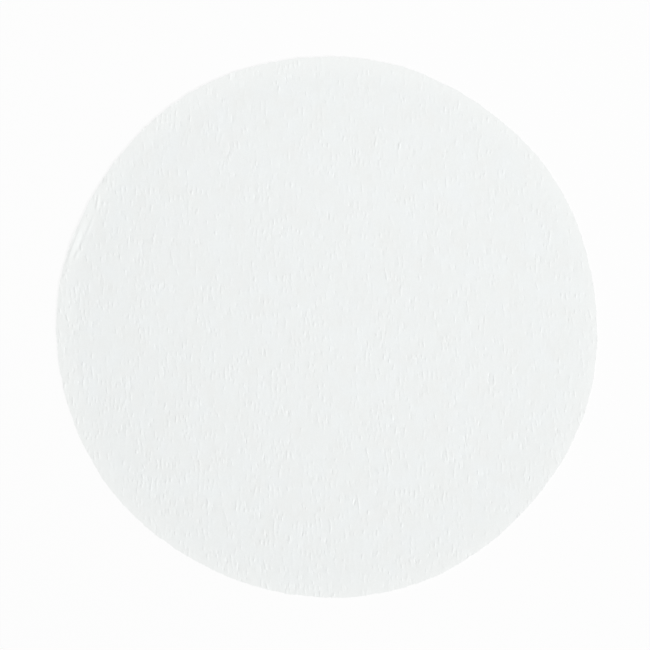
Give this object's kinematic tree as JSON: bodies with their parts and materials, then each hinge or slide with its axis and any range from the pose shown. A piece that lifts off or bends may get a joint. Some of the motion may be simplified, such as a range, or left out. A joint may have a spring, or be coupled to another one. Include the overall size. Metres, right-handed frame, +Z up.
{
  "type": "filter paper disc",
  "caption": "Round white laboratory filter paper: one thin creped sheet with a die-cut rim and a short crease pinched into the rim.",
  "frame": {"origin": "centre of the disc on its underside, the face it rests on", "axes": "+Z up through the sheet, out of its top face; +Y along the crepe lines; the rim's crease lies 159 degrees round from +X, anticlockwise seen from above"},
  "size_m": [0.11, 0.11, 0.0006],
  "materials": {
    "filter_paper": "matte"
  },
  "bodies": {
    "root": {"filter_disc": "filter_paper"}
  },
  "joints": []
}
